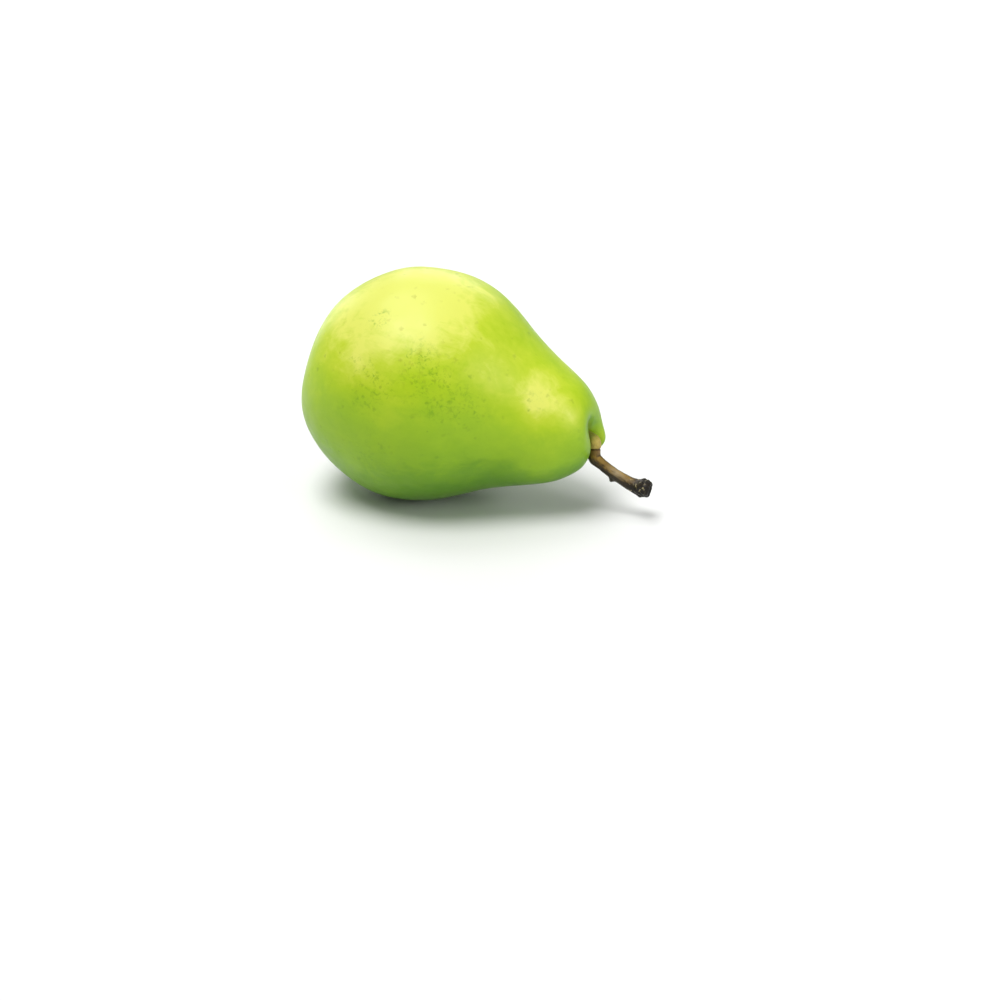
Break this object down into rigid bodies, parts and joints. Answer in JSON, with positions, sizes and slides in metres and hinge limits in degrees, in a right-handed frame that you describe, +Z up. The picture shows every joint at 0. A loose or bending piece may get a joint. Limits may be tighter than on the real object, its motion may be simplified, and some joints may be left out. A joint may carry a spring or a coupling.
{
  "type": "pear",
  "caption": "Whole green pear lying on its side on a small flat spot, with a bent woody stem in the folded crown and a dried calyx in the blossom-end basin.",
  "frame": {"origin": "on the ground straight under the fruit's centre of mass, on the flat spot that it rests on", "axes": "+Z up, +X level along the pear from the blossom end towards the stem, +Y to the pear's left when looking along +X; the axis of the fruit dips 12 degrees towards the stem"},
  "size_m": [0.1091, 0.0728, 0.0714],
  "materials": {
    "skin": "waxy yellow-green skin with fine darker speckles and a soft satin sheen",
    "stem": "smooth brown bark, tan at the root and nearly black at the broken end",
    "calyx": "dry, matt dark brown"
  },
  "bodies": {
    "root": {"fruit": "skin", "stem": "stem", "calyx": "calyx"}
  },
  "joints": []
}
